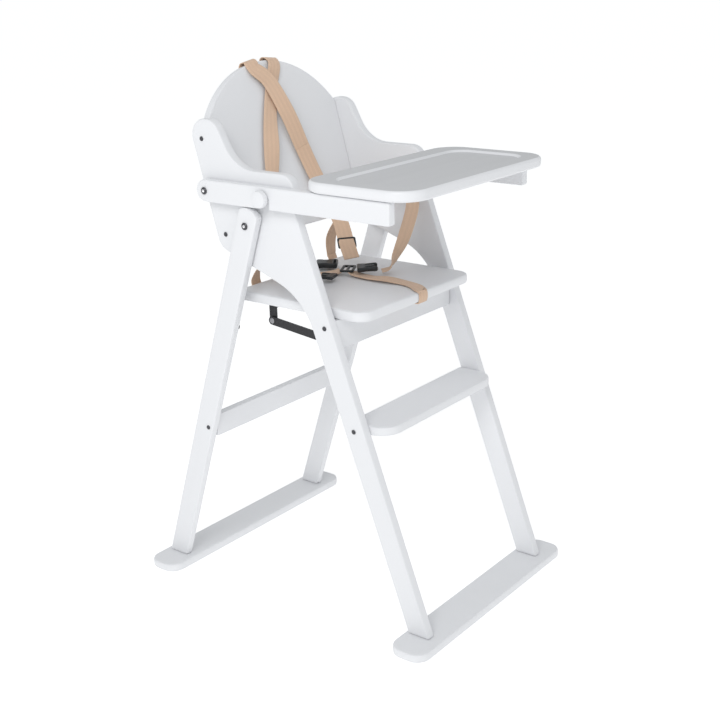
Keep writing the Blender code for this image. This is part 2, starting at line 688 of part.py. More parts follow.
def make_shoulder_straps():
    """Two shoulder straps that come over the backrest, cross on its front and hang to the seat."""
    right = [(on_back(-0.034, 0.860, -0.003), (1, 0, 0))] + over_the_top(-0.030, 0.0048) + [
        (on_back(-0.007, 0.884, 0.0155), (1, -0.1, 0.3)), (on_back(0.011, 0.835, 0.0170), (1, -0.35, 0.25)),
        (on_back(0.033, 0.775, 0.0120), (1, -0.3, 0.2)), ((0.052, 0.114, 0.720), (1, -0.3, 0.1)),
        ((0.068, 0.080, 0.650), (0.85, -0.5, 0)), ((0.0533, 0.050, 0.6026), (0.8, -0.6, 0)),
        ((0.0483, 0.036, 0.5870), (0.8, -0.5, 0))]
    left = [(on_back(0.034, 0.860, -0.003), (1, 0, 0))] + over_the_top(0.027, 0.0048) + [
        (on_back(0.006, 0.884, 0.0042), (1, 0, -0.15)), (on_back(-0.024, 0.835, 0.0060), (1, -0.1, -0.1)),
        (on_back(-0.044, 0.785, 0.0100), (1, -0.4, 0)), (on_back(-0.0555, 0.742, 0.0070), (1, -0.1, 0)),
        ((-0.052, 0.102, 0.690), (1, 0, 0)), ((-0.046, 0.085, 0.640), (1, 0.1, 0)),
        ((-0.042, 0.068, 0.603), (1, 0.2, 0)), ((-0.038, 0.055, 0.586), (1, 0.2, 0))]
    strap("shoulder_strap_right", right, SHOULDER_WEB_WIDTH)
    strap("shoulder_strap_left", left, SHOULDER_WEB_WIDTH)


def round_the_edge(x, edge, outward):
    """Points that carry a strap round the seat's front or rear edge, from below to above."""
    reach = SEAT_EASE + WEB_LIFT
    middle = edge - outward * SEAT_EASE
    slant = outward * reach * math.sqrt(0.5)
    drop = reach * math.sqrt(0.5)
    places = ((middle, SEAT_BOTTOM - WEB_LIFT), (middle + slant, SEAT_BOTTOM + SEAT_EASE - drop),
              (edge + outward * WEB_LIFT, SEAT_TOP - SEAT_THICK / 2),
              (middle + slant, SEAT_TOP - SEAT_EASE + drop), (middle, SEAT_TOP + WEB_LIFT))
    return [((x, y, z), (1, 0, 0)) for y, z in places]


def make_seat_straps():
    """The crotch strap and the two slack waist straps, each one round an edge of the seat."""
    top = SEAT_TOP + WEB_LIFT
    low = SEAT_BOTTOM - WEB_LIFT
    crotch = [((0.004, -0.115, low), (1, 0, 0))] + round_the_edge(0.004, SEAT_FRONT, -1) + [
        ((0.018, -0.128, top + 0.001), (1, -0.4, 0)), ((0.026, -0.100, top + 0.001), (1, -0.1, 0)),
        ((0.021, -0.062, top + 0.003), (1, 0.1, 0.08)), ((0.020, -0.030, top + 0.003), (1, 0.2, 0)),
        ((0.022, 0.004, top + 0.003), (1, 0.2, 0))]
    right = [((0.114, 0.100, low), (1, 0, 0))] + round_the_edge(0.114, SEAT_BACK, 1)[:4]
    right = right[:-1] + [
        ((0.112, SEAT_BACK + 0.006, 0.562), (1, 0, 0)), ((0.103, 0.126, 0.600), (1, -0.2, 0)),
        ((0.096, 0.096, 0.640), (0.95, -0.3, 0)), ((0.104, 0.066, 0.686), (1, -0.3, 0)),
        ((0.122, 0.020, 0.704), (1, -0.2, 0)), ((0.132, -0.030, 0.702), (0.9, -0.4, 0.1)),
        ((0.125, -0.048, 0.676), (0.8, -0.6, 0)), ((0.105, -0.044, 0.622), (0.85, -0.5, 0)),
        ((0.085, -0.037, 0.586), (1, 0, 0)), ((0.070, -0.034, 0.567), (0.8, 0.6, 0))]
    left = [((-0.104, 0.100, low), (1, 0, 0))] + round_the_edge(-0.104, SEAT_BACK, 1)[:3] + [
        ((-0.103, SEAT_BACK + 0.006, 0.562), (1, 0.1, 0)), ((-0.098, 0.126, 0.585), (0.8, 0.6, 0)),
        ((-0.078, 0.112, 0.582), (0.3, 1, 0)), ((-0.052, 0.094, top + 0.004), (0.2, 1, 0)),
        ((-0.022, 0.070, top + 0.002), (0.3, 1, 0)), ((0.004, 0.050, top + 0.003), (0.4, 1, 0))]
    return [strap("crotch_strap", crotch), strap("waist_strap_right", right), strap("waist_strap_left", left)]


def moulding(name, half_x, half_y, high, position, turn, tilt=0.0):
    """A small black moulding with rounded corners, turned about Z after it is tilted about X."""
    corner = min(half_x, half_y) * 0.35
    outline = rounded([(-half_x, -half_y, corner), (half_x, -half_y, corner),
                       (half_x, half_y, corner), (-half_x, half_y, corner)])
    return slab(name, outline, high, position, (tilt, 0, turn), high * 0.25, BLACK_PLASTIC)


def make_buckles():
    """The waist buckle's parts, the strap lock between them and the shoulder straps' slides."""
    top = SEAT_TOP + WEB_LIFT
    upright = math.pi / 2
    return [moulding("buckle_lock", 0.0150, 0.0120, 0.0040, (0.028, 0.028, top + 0.0085), 0.5),
            moulding("buckle_body", 0.0170, 0.0190, 0.0100, (0.036, 0.084, top + 0.0085), 0.6),
            moulding("buckle_tongue_right", 0.0140, 0.0145, 0.0070, (0.049, -0.006, top + 0.0125), 0.75),
            moulding("buckle_tongue_left", 0.0140, 0.0145, 0.0070, (-0.030, 0.026, top + 0.0075), 0.3),
            moulding("strap_slide_right", 0.0170, 0.0090, 0.0040, (0.0460, 0.029, 0.5800), -0.6, upright - 0.5),
            moulding("strap_slide_left", 0.0170, 0.0090, 0.0040, (-0.0360, 0.046, 0.5790), 0.2, upright - 0.5)]


# ----------------------------------------------------------------- assembly
def build():
    clear_scene()
    panels = make_side_panels()
    make_front_foot_board()
    make_apron()
    make_footrest()
    make_backrest()
    make_knobs()
    make_apron_ears()
    legs, rear = make_rear_frame()
    rear += list(legs.values()) + make_seat_pivots(legs)
    seat = [make_seat_board()] + make_hinge_plates() + make_link_ears()
    links = make_links()
    arms = make_arms()
    tray = [make_tray()] + list(arms.values())

    for label, side in SIDES:
        for name, place in screw_places():
            wood_screw(f"{name}_{label}", side, PANEL_OUTER, PANEL_THICK, panels[side], place)
        rear.append(wood_screw(f"rail_screw_{label}", side, LEG_OUTER, REAR_LEG_THICK, legs[side],
                               (rail_y(), RAIL_MIDDLE)))
        pivot_bolt(f"fold_bolt_{label}", side, LEG_OUTER, (legs[side], panels[side]), (FOLD_Y, FOLD_Z))
        pivot_bolt(f"arm_bolt_{label}", side, ARM_OUTER, (arms[side], panels[side]),
                   (ARM_PIVOT_Y, ARM_PIVOT_Z))
        rivet(f"apron_rivet_{label}", side, LINK_PIVOT, True)
        links.append(rivet(f"link_rivet_{label}", side, RIVET, False))

    make_shoulder_straps()
    seat += make_seat_straps() + make_buckles()

    fold_axis = axis_at("fold_axis", FOLD_Y, FOLD_Z)
    seat_axis = axis_at("seat_axis", *SEAT_PIVOT)
    hang(fold_axis, rear)
    hang(seat_axis, seat)
    hang(axis_at("link_axis", *LINK_PIVOT), links)
    hang(axis_at("tray_axis", ARM_PIVOT_Y, ARM_PIVOT_Z), tray)
    seat_axis.parent = fold_axis
    seat_axis.matrix_parent_inverse = Matrix.Translation(-fold_axis.location)


build()
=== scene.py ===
import math

import bmesh
import bpy
from mathutils import Matrix, Vector


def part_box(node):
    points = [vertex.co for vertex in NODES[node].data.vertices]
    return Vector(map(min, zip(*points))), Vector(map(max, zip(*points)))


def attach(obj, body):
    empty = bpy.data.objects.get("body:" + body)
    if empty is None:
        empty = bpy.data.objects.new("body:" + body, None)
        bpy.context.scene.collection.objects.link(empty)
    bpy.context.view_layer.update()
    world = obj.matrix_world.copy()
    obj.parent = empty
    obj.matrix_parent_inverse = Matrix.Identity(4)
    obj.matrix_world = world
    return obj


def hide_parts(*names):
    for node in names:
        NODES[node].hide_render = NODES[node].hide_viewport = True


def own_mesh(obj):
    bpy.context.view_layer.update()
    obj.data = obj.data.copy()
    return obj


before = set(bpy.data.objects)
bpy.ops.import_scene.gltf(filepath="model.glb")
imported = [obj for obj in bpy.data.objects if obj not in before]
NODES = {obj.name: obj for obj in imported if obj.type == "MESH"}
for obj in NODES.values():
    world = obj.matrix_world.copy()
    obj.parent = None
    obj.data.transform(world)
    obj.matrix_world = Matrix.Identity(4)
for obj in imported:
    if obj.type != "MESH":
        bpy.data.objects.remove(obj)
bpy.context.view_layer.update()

# ------------------------------------------------------------ places and sizes
SEAT_LOW, SEAT_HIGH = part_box("seat_board")
TRAY_LOW, TRAY_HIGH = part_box("tray")
BACK_LOW, BACK_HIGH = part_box("backrest")
SEAT_TOP = SEAT_HIGH.z
SEAT_UNDER = SEAT_LOW.z
SEAT_FRONT = SEAT_LOW.y
SEAT_BACK = SEAT_HIGH.y
SEAT_EASE = 0.005

BACK_LEAN = 0.2711           # the backrest's run towards the back for each metre of rise
BACK_THICK = 0.016
BACK_FRONT_Y = 0.1107        # its front face at BACK_Z
BACK_Z = 0.6597
BACK_NORMAL = Vector((0, -1, BACK_LEAN)).normalized()
BACK_UP = Vector((0, BACK_LEAN, 1)).normalized()

WEB_WIDTH = 0.025
SHOULDER_WEB_WIDTH = 0.030
TOP_LIFT = 0.0040            # shoulder webbing off the backrest where it goes over the top
TOP_SPREAD = 0.0004          # what its two corners on the top stand out beyond that
TOP_ENDS = 0.15              # how near those corners come to the edges, as a share of the board
BACK_ARCH = 0.200            # radius of the backrest's arched top, as the straps follow it
WEB_THICK = 0.0015
SELVEDGE = 0.0006            # radius of the webbing's edges
WEB_LIFT = 0.0016            # middle of the webbing above what it lies on
ROW_LENGTH = 0.0022          # length of one row of faces along a strap

TRAY_ROUND = 0.048
TRAY_EDGE = 0.0055           # rounding of the tray's outer edges
RIM_SIDE = 0.0275
RIM_FRONT = 0.0290
RIM_REAR = 0.0400
COVE = 0.0050                # width of the slope from the rim to the recess
RECESS = 0.0040
RECESS_ROUND = 0.034         # corners of the recess
RING_STEPS = 12              # facets in each corner of the tray's rings


# ------------------------------------------------------------------- materials
def new_material(name, colour, roughness, metallic=0.0):
    mat = bpy.data.materials.new(name)
    mat.use_nodes = True
    shader = mat.node_tree.nodes["Principled BSDF"]
    shader.inputs["Base Color"].default_value = (*colour, 1)
    shader.inputs["Roughness"].default_value = roughness
    shader.inputs["Metallic"].default_value = metallic
    return mat, mat.node_tree.nodes, mat.node_tree.links, shader


def noise(nodes, links, scale, detail, stretch=(1, 1, 1), source="Object"):
    """Noise in metres: scale is in cells per metre, stretched along an axis by stretch."""
    coords = nodes.new("ShaderNodeTexCoord")
    mapping = nodes.new("ShaderNodeMapping")
    mapping.inputs["Scale"].default_value = stretch
    texture = nodes.new("ShaderNodeTexNoise")
    texture.inputs["Scale"].default_value = scale
    texture.inputs["Detail"].default_value = detail
    links.new(coords.outputs[source], mapping.inputs["Vector"])
    links.new(mapping.outputs["Vector"], texture.inputs["Vector"])
    return texture.outputs["Fac"]


def between(nodes, links, factor, low, high):
    """factor from 0 to 1 mapped to a range of values."""
    ranged = nodes.new("ShaderNodeMapRange")
    ranged.inputs["To Min"].default_value = low
    ranged.inputs["To Max"].default_value = high
    links.new(factor, ranged.inputs["Value"])
    return ranged.outputs["Result"]


def tinted(nodes, links, factor, first, second):
    """A colour that varies from first to second with factor."""
    mix = nodes.new("ShaderNodeMix")
    mix.data_type = "RGBA"
    mix.inputs["A"].default_value = (*first, 1)
    mix.inputs["B"].default_value = (*second, 1)
    links.new(factor, mix.inputs["Factor"])
    return mix.outputs["Result"]


def bumped(nodes, links, shader, height, distance, strength=1.0):
    bump = nodes.new("ShaderNodeBump")
    bump.inputs["Strength"].default_value = strength
    bump.inputs["Distance"].default_value = distance
    links.new(height, bump.inputs["Height"])
    links.new(bump.outputs["Normal"], shader.inputs["Normal"])


def satin_paint(name, colour, rough_low, rough_high, grain, relief=0.2):
    """Sprayed white paint on planed wood: faint grain, faint unevenness of tone and gloss."""
    mat, nodes, links, shader = new_material(name, colour, rough_low)
    shader.inputs["Specular IOR Level"].default_value = 0.45
    broad = noise(nodes, links, 9, 3)
    lines = noise(nodes, links, 60, 5, grain)
    darker = tuple(c * 0.975 for c in colour)
    links.new(tinted(nodes, links, broad, darker, colour), shader.inputs["Base Color"])
    links.new(between(nodes, links, lines, rough_low, rough_high), shader.inputs["Roughness"])
    if relief:
        bumped(nodes, links, shader, lines, 0.00015, relief)
    return mat


def coated_steel(name, colour, metallic, rough_low, rough_high):
    mat, nodes, links, shader = new_material(name, colour, rough_low, metallic)
    grit = noise(nodes, links, 700, 4)
    worn = tuple(min(1, c * 1.8 + 0.01) for c in colour)
    links.new(tinted(nodes, links, grit, colour, worn), shader.inputs["Base Color"])
    links.new(between(nodes, links, grit, rough_low, rough_high), shader.inputs["Roughness"])
    bumped(nodes, links, shader, grit, 0.0001, 0.4)
    return mat


def moulded_plastic(name, colour):
    mat, nodes, links, shader = new_material(name, colour, 0.35)
    grit = noise(nodes, links, 1500, 2)
    links.new(between(nodes, links, grit, 0.30, 0.48), shader.inputs["Roughness"])
    brighter = tuple(c * 1.5 for c in colour)
    links.new(tinted(nodes, links, grit, colour, brighter), shader.inputs["Base Color"])
    bumped(nodes, links, shader, grit, 0.00006, 0.5)
    return mat


def stripes(nodes, links, vector, axis, per_metre, shape="SIN"):
    wave = nodes.new("ShaderNodeTexWave")
    wave.wave_type = "BANDS"
    wave.bands_direction = axis
    wave.wave_profile = shape
    # a band repeats every 2 pi / 20 of the texture's own unit
    wave.inputs["Scale"].default_value = per_metre * math.pi / 10
    wave.inputs["Distortion"].default_value = 0.0
    links.new(vector, wave.inputs["Vector"])
    return wave.outputs["Fac"]


def multiply(nodes, links, a, b):
    product = nodes.new("ShaderNodeMath")
    product.operation = "MULTIPLY"
    links.new(a, product.inputs[0])
    links.new(b, product.inputs[1])
    return product.outputs[0]


def woven_webbing(name, colour):
    """Woven polyester: ribs across the strap and yarns along it."""
    mat, nodes, links, shader = new_material(name, colour, 0.8)
    shader.inputs["Sheen Weight"].default_value = 0.25
    shader.inputs["Sheen Roughness"].default_value = 0.4
    shader.inputs["Specular IOR Level"].default_value = 0.25
    uv = nodes.new("ShaderNodeUVMap")
    uv.uv_map = "strap"
    ribs = stripes(nodes, links, uv.outputs["UV"], "X", 520)
    yarns = stripes(nodes, links, uv.outputs["UV"], "Y", 760)
    weave = multiply(nodes, links, ribs, yarns)
    wide = stripes(nodes, links, uv.outputs["UV"], "Y", 120)
    fuzz = noise(nodes, links, 260, 4)
    dark = tuple(c * 0.80 for c in colour)
    light = tuple(min(1, c * 1.10) for c in colour)
    woven = tinted(nodes, links, weave, dark, light)
    mix = nodes.new("ShaderNodeMix")
    mix.data_type = "RGBA"
    mix.blend_type = "MULTIPLY"
    mix.inputs["Factor"].default_value = 0.35
    links.new(woven, mix.inputs["A"])
    links.new(tinted(nodes, links, multiply(nodes, links, wide, fuzz), (0.8, 0.8, 0.8), (1.1, 1.1, 1.1)),
              mix.inputs["B"])
    links.new(mix.outputs["Result"], shader.inputs["Base Color"])
    links.new(between(nodes, links, fuzz, 0.70, 0.92), shader.inputs["Roughness"])
    bumped(nodes, links, shader, weave, 0.0003, 0.7)
    return mat


WHITE = (0.760, 0.766, 0.784)
PAINT_UPRIGHT = satin_paint("white_paint_upright", WHITE, 0.36, 0.46, (1.0, 0.8, 0.06))
PAINT_ACROSS = satin_paint("white_paint_across", WHITE, 0.36, 0.46, (0.06, 1.0, 1.0))
PAINT_ALONG = satin_paint("white_paint_along", WHITE, 0.36, 0.46, (1.0, 0.06, 1.0))
# painted shade: the tray's upward faces get a darker grey than the same white paint elsewhere, standing in for
# the dimmer light on the top
TRAY_TOP_PAINTED_SHADE = satin_paint("tray_top_painted_shade", (0.520, 0.524, 0.536), 0.26, 0.36, (0.06, 1.0, 1.0), 0)
STRIP_STEEL = coated_steel("black_strip_steel", (0.020, 0.020, 0.022), 0.5, 0.34, 0.50)
BOLT_STEEL = coated_steel("dark_bolt_steel", (0.055, 0.055, 0.060), 0.9, 0.28, 0.45)
PLASTIC = moulded_plastic("black_buckle_plastic", (0.012, 0.014, 0.016))
RIVET_STEEL = coated_steel("worn_rivet_steel", (0.22, 0.22, 0.23), 0.8, 0.30, 0.45)
SOCKET_STEEL = coated_steel("bright_socket_steel", (0.62, 0.62, 0.64), 0.6, 0.30, 0.45)
WEBBING = woven_webbing("beige_webbing", (0.800, 0.570, 0.412))

ACROSS = ("backrest", "seat_apron", "footrest", "seat_board", "front_foot_board", "rear_foot_board",
          "rear_rail", "tray")
ALONG = ("tray_arm_left", "tray_arm_right")
STRIP = ("link_bar", "link_ear", "hinge_plate", "seat_pivot")
STEEL = ("screw", "bolt")
SOCKETED = ("fold_bolt", "arm_bolt")
SOCKET_REACH = 0.0040        # the socket's faces lie within this of the bolt's axis
SOCKET_DEPTH = 0.0035        # and within this of the end of its head


def finish_of(name):
    if any(word in name for word in STRIP):
        return STRIP_STEEL
    if any(word in name for word in STEEL):
        return BOLT_STEEL
    if "rivet" in name:
        return RIVET_STEEL
    if name in ACROSS:
        return PAINT_ACROSS
    if name in ALONG:
        return PAINT_ALONG
    return PAINT_UPRIGHT


# ------------------------------------------------------------- shading helpers
def mark_creases(mesh, angle):
    """Marks the edges sharper than angle, also where the faces' corners aren't shared."""
    normals = {}
    places = [tuple(round(c, 6) for c in v.co) for v in mesh.vertices]
    for face in mesh.polygons:
        for a, b in face.edge_keys:
            normals.setdefault(frozenset((places[a], places[b])), []).append(face.normal)
    sharp = mesh.attributes.get("sharp_edge") or mesh.attributes.new("sharp_edge", "BOOLEAN", "EDGE")
    limit = math.cos(angle)
    for edge in mesh.edges:
        met = normals[frozenset((places[edge.vertices[0]], places[edge.vertices[1]]))]
        sharp.data[edge.index].value = len(met) == 2 and met[0].dot(met[1]) < limit


def shade(obj, angle=math.radians(34)):
    """Smooth shading with weighted normals: flats stay flat and eased edges look round."""
    mesh = obj.data
    if mesh.attributes.get("custom_normal"):
        mesh.attributes.remove(mesh.attributes["custom_normal"])
    mark_creases(mesh, angle)
    for face in mesh.polygons:
        face.use_smooth = True
    weld = obj.modifiers.new("weld", "WELD")
    weld.merge_threshold = 0.00001
    weighted = obj.modifiers.new("weighted", "WEIGHTED_NORMAL")
    weighted.keep_sharp = True
    weighted.weight = 100


def dress(obj, mat):
    obj.data.materials.clear()
    obj.data.materials.append(mat)


def brighten_socket(obj):
    """Gives the hex socket in a bolt's head its bright bare steel."""
    mesh = obj.data
    spots = [obj.matrix_world @ v.co for v in mesh.vertices]
    outside = max(abs(p.x) for p in spots)
    middle = [(min(p[i] for p in spots) + max(p[i] for p in spots)) / 2 for i in (1, 2)]
    mesh.materials.append(SOCKET_STEEL)
    for face in mesh.polygons:
        corners = [spots[i] for i in face.vertices]
        if all(math.hypot(p.y - middle[0], p.z - middle[1]) < SOCKET_REACH
               and abs(p.x) > outside - SOCKET_DEPTH for p in corners):
            face.material_index = 1


def finish_cad_nodes():
    for name, obj in NODES.items():
        dress(obj, finish_of(name))
        if any(word in name for word in SOCKETED):
            brighten_socket(obj)
        shade(obj)


# ---------------------------------------------------------------------- straps
def blended(points, i, t):
    """Catmull-Rom between points i and i + 1."""
    p0 = points[max(i - 1, 0)]
    p1 = points[i]
    p2 = points[i + 1]
    p3 = points[min(i + 2, len(points) - 1)]
    return 0.5 * (2 * p1 + (p2 - p0) * t + (2 * p0 - 5 * p1 + 4 * p2 - p3) * t * t
                  + (3 * p1 - p0 - 3 * p2 + p3) * t ** 3)


def web_section(width):
    """The webbing's section, as (across, out of the face): flat faces and round selvedges."""
    half = width / 2
    thick = WEB_THICK / 2
    top = [(half - SELVEDGE, thick), (half * 0.6, thick), (half * 0.2, thick), (-half * 0.2, thick),
           (-half * 0.6, thick), (-half + SELVEDGE, thick)]
    side = (half - SELVEDGE * 0.25, thick * 0.65)
    right = [(half, 0), side]
    left = [(-side[0], side[1]), (-half, 0)]
    under = [(-u, -v) for u, v in right[1:] + top + left[:-1]]
    return right + top + left + under


def strap(name, route, body, node, width=WEB_WIDTH):
    """Webbing along a route of (centre, direction across the strap) pairs."""
    centres = [Vector(place) for place, _ in route]
    across = [Vector(side).normalized() for _, side in route]
    rows = []
    for i in range(len(route) - 1):
        count = max(3, round((centres[i + 1] - centres[i]).length / ROW_LENGTH))
        rows += [(blended(centres, i, k / count), blended(across, i, k / count)) for k in range(count)]
    rows.append((centres[-1], across[-1]))
    section = web_section(width)
    bm = bmesh.new()
    uv = bm.loops.layers.uv.new("strap")
    rings = []
    run = 0.0
    for i, (centre, side) in enumerate(rows):
        ahead = rows[min(i + 1, len(rows) - 1)][0] - rows[max(i - 1, 0)][0]
        along = ahead.normalized()
        side = (side - along * side.dot(along)).normalized()
        out = side.cross(along)
        if i:
            run += (centre - rows[i - 1][0]).length
        rings.append((run, [bm.verts.new(centre + side * u + out * v) for u, v in section]))
    for (run_a, ring_a), (run_b, ring_b) in zip(rings, rings[1:]):
        for k in range(len(section)):
            n = (k + 1) % len(section)
            face = bm.faces.new((ring_a[k], ring_a[n], ring_b[n], ring_b[k]))
            corners = ((run_a, section[k][0]), (run_a, section[n][0]),
                       (run_b, section[n][0]), (run_b, section[k][0]))
            for loop, (u, v) in zip(face.loops, corners):
                loop[uv].uv = (u, v)
            face.smooth = True
    bm.faces.new(rings[0][1])
    bm.faces.new(list(reversed(rings[-1][1])))
    bmesh.ops.recalc_face_normals(bm, faces=bm.faces)
    mesh = bpy.data.meshes.new(name)
    bm.to_mesh(mesh)
    bm.free()
    obj = bpy.data.objects.new(name, mesh)
    bpy.context.scene.collection.objects.link(obj)
    obj.data.materials.append(WEBBING)
    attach(obj, body)
    if node:
        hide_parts(node)
    return obj


def on_back(x, z, off):
    """A point off the backrest's front face, or behind its back face if off is negative."""
    face = Vector((x, BACK_FRONT_Y + BACK_LEAN * (z - BACK_Z), z))
    return face + BACK_NORMAL * (off if off > 0 else off - BACK_THICK)


def over_the_top(x, lift):
    """Points that carry a strap over the arched top of the backrest at x."""
    arch = BACK_HIGH.z - x * x / (2 * BACK_ARCH)
    across = (1, 0, -x / BACK_ARCH)
    top = on_back(x, arch, lift * 0.01) + BACK_UP * (lift + TOP_SPREAD)
    return [(on_back(x, arch - 0.012, -lift), across),
            (top - BACK_NORMAL * BACK_THICK * (1 - TOP_ENDS), across),
            (top - BACK_NORMAL * BACK_THICK * TOP_ENDS, across),
            (on_back(x, arch - 0.009, lift), across)]


def make_shoulder_straps():
    """Each shoulder strap is a fixed stretch on the backrest and a loose fall below it."""
    right = [(on_back(-0.034, 0.880, -TOP_LIFT), (1, 0, 0))] + over_the_top(-0.034, TOP_LIFT) + [
        (on_back(-0.010, 0.893, 0.0100), (1, -0.1, 0.4)), (on_back(0.011, 0.835, 0.0160), (1, -0.35, 0.25)),
        (on_back(0.033, 0.775, 0.0120), (1, -0.3, 0.2))]
    right_fall = [right[-1], ((0.052, 0.114, 0.720), (1, -0.3, 0.1)), ((0.068, 0.080, 0.650), (0.85, -0.5, 0)),
                  ((0.0570, 0.052, 0.6026), (0.8, -0.6, 0)), ((0.0500, 0.036, 0.5790), (0.8, -0.5, 0))]
    left = [(on_back(0.020, 0.880, -TOP_LIFT), (1, 0, 0))] + over_the_top(0.020, TOP_LIFT) + [
        (on_back(0.000, 0.884, 0.0034), (1, 0, -0.15)), (on_back(-0.024, 0.835, 0.0060), (1, -0.1, -0.1)),
        (on_back(-0.044, 0.785, 0.0100), (1, -0.4, 0)), (on_back(-0.0555, 0.742, 0.0070), (1, -0.1, 0))]
    left_fall = [left[-1], ((-0.052, 0.102, 0.690), (1, 0, 0)), ((-0.046, 0.085, 0.640), (1, 0.1, 0)),
                 ((-0.042, 0.068, 0.603), (1, 0.2, 0)), ((-0.038, 0.055, 0.580), (1, 0.2, 0))]
    for side, fixed, loose in (("right", right, right_fall), ("left", left, left_fall)):
        strap("shoulder_strap_top_" + side, fixed, "front_frame", "shoulder_strap_" + side,
              SHOULDER_WEB_WIDTH)
        fall = strap("shoulder_strap_fall_" + side, loose, "front_frame", None, SHOULDER_WEB_WIDTH)
        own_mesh(fall)


def round_the_edge(x, edge, outward):
    """Points that carry a strap round the seat's front or rear edge, from below to above."""
    reach = SEAT_EASE + WEB_LIFT
    middle = edge - outward * SEAT_EASE
    slant = outward * reach * math.sqrt(0.5)
    drop = reach * math.sqrt(0.5)
    places = ((middle, SEAT_UNDER - WEB_LIFT), (middle + slant, SEAT_UNDER + SEAT_EASE - drop),
              (edge + outward * WEB_LIFT, (SEAT_TOP + SEAT_UNDER) / 2),
              (middle + slant, SEAT_TOP - SEAT_EASE + drop), (middle, SEAT_TOP + WEB_LIFT))
    return [((x, y, z), (1, 0, 0)) for y, z in places]


def make_seat_straps():
    """The crotch strap and the two slack waist straps, each one round an edge of the seat."""
    top = SEAT_TOP + WEB_LIFT
    low = SEAT_UNDER - WEB_LIFT
    crotch = [((0.004, -0.115, low), (1, 0, 0))] + round_the_edge(0.004, SEAT_FRONT, -1) + [
        ((0.018, -0.128, top + 0.0006), (1, -0.4, 0)), ((0.026, -0.100, top + 0.0008), (1, -0.1, 0)),
        ((0.021, -0.062, top + 0.004), (1, 0.1, 0.08)), ((0.020, -0.030, top + 0.002), (1, 0.2, 0)),
        ((0.022, 0.004, top + 0.003), (1, 0.2, 0)), ((0.024, 0.016, top + 0.006), (1, 0.3, 0))]
    strap("crotch_strap_web", crotch, "seat", "crotch_strap")
    anchor = [((0.114, 0.100, low), (1, 0, 0))] + round_the_edge(0.114, SEAT_BACK, 1)[:3] + [
        ((0.112, SEAT_BACK + 0.006, top + 0.005), (1, 0, 0))]
    loop = [
        anchor[-1], ((0.103, 0.126, 0.600), (1, -0.2, 0)),
        ((0.096, 0.096, 0.640), (0.95, -0.3, 0)), ((0.104, 0.066, 0.686), (1, -0.3, 0)),
        ((0.122, 0.020, 0.704), (1, -0.2, 0)), ((0.132, -0.030, 0.702), (0.9, -0.4, 0.1)),
        ((0.125, -0.048, 0.676), (0.8, -0.6, 0)), ((0.105, -0.044, 0.622), (0.85, -0.5, 0)),
        ((0.085, -0.037, 0.586), (1, 0, 0)), ((0.070, -0.034, 0.567), (0.8, 0.6, 0)),
        ((0.060, -0.024, top + 0.005), (0.7, 0.7, 0))]
    strap("waist_strap_anchor_right", anchor, "seat", "waist_strap_right")
    right = strap("waist_strap_loop_right", loop, "seat", None)
    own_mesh(right)
    slack = [((-0.104, 0.100, low), (1, 0, 0))] + round_the_edge(-0.104, SEAT_BACK, 1)[:3] + [
        ((-0.103, SEAT_BACK + 0.006, 0.562), (1, 0.1, 0)), ((-0.098, 0.126, 0.585), (0.8, 0.6, 0)),
        ((-0.078, 0.112, 0.582), (0.3, 1, 0)), ((-0.052, 0.094, top + 0.004), (0.2, 1, 0)),
        ((-0.022, 0.070, top + 0.002), (0.3, 1, 0)), ((0.006, 0.048, top + 0.003), (0.4, 1, 0)),
        ((0.018, 0.038, top + 0.006), (0.5, 1, 0))]
    strap("waist_strap_web_left", slack, "seat", "waist_strap_left")


# --------------------------------------------------------------------- buckles
def flat_piece(name, outlines, thickness, rounding, place, mat):
    """A moulded flat piece: an outline with its holes, given a thickness and round edges."""
    curve = bpy.data.curves.new(name, "CURVE")
    curve.dimensions = "2D"
    curve.fill_mode = "BOTH"
    curve.extrude = thickness / 2 - rounding
    curve.bevel_depth = rounding
    curve.bevel_resolution = 2
    curve.offset = -rounding
    for outline in outlines:
        spline = curve.splines.new("POLY")
        spline.points.add(len(outline) - 1)
        for point, (u, v) in zip(spline.points, outline):
            point.co = (u, v, 0, 1)
        spline.use_cyclic_u = True
    guide = bpy.data.objects.new(name + "_outline", curve)
    bpy.context.scene.collection.objects.link(guide)
    depsgraph = bpy.context.evaluated_depsgraph_get()
    mesh = bpy.data.meshes.new_from_object(guide.evaluated_get(depsgraph))
    bpy.data.objects.remove(guide)
    bm = bmesh.new()
    bm.from_mesh(mesh)
    bmesh.ops.remove_doubles(bm, verts=bm.verts, dist=1e-5)
    bmesh.ops.recalc_face_normals(bm, faces=bm.faces)
    bm.transform(place)
    bm.to_mesh(mesh)
    bm.free()
    obj = bpy.data.objects.new(name, mesh)
    bpy.context.scene.collection.objects.link(obj)
    dress(obj, mat)
    shade(obj, math.radians(40))
    return obj


def rounded_box(cx, cy, half_x, half_y, radius, steps=5):
    points = []
    for quarter, (sx, sy) in enumerate(((1, 1), (-1, 1), (-1, -1), (1, -1))):
        for i in range(steps + 1):
            angle = math.pi / 2 * (quarter + i / steps)
            points.append((cx + sx * (half_x - radius) + radius * math.cos(angle),
                           cy + sy * (half_y - radius) + radius * math.sin(angle)))
    return points


def placed(x, y, z, turn=0.0, tilt=0.0, roll=0.0):
    return (Matrix.Translation((x, y, z)) @ Matrix.Rotation(turn, 4, "Z")
            @ Matrix.Rotation(tilt, 4, "X") @ Matrix.Rotation(roll, 4, "Y"))


def slide_outlines():
    """A slide: a frame with two slots for the webbing on each side of a bar."""
    return [rounded_box(0, 0, 0.0175, 0.0105, 0.0035), rounded_box(0, 0.0042, 0.0135, 0.0024, 0.0010),
            rounded_box(0, -0.0042, 0.0135, 0.0024, 0.0010)]


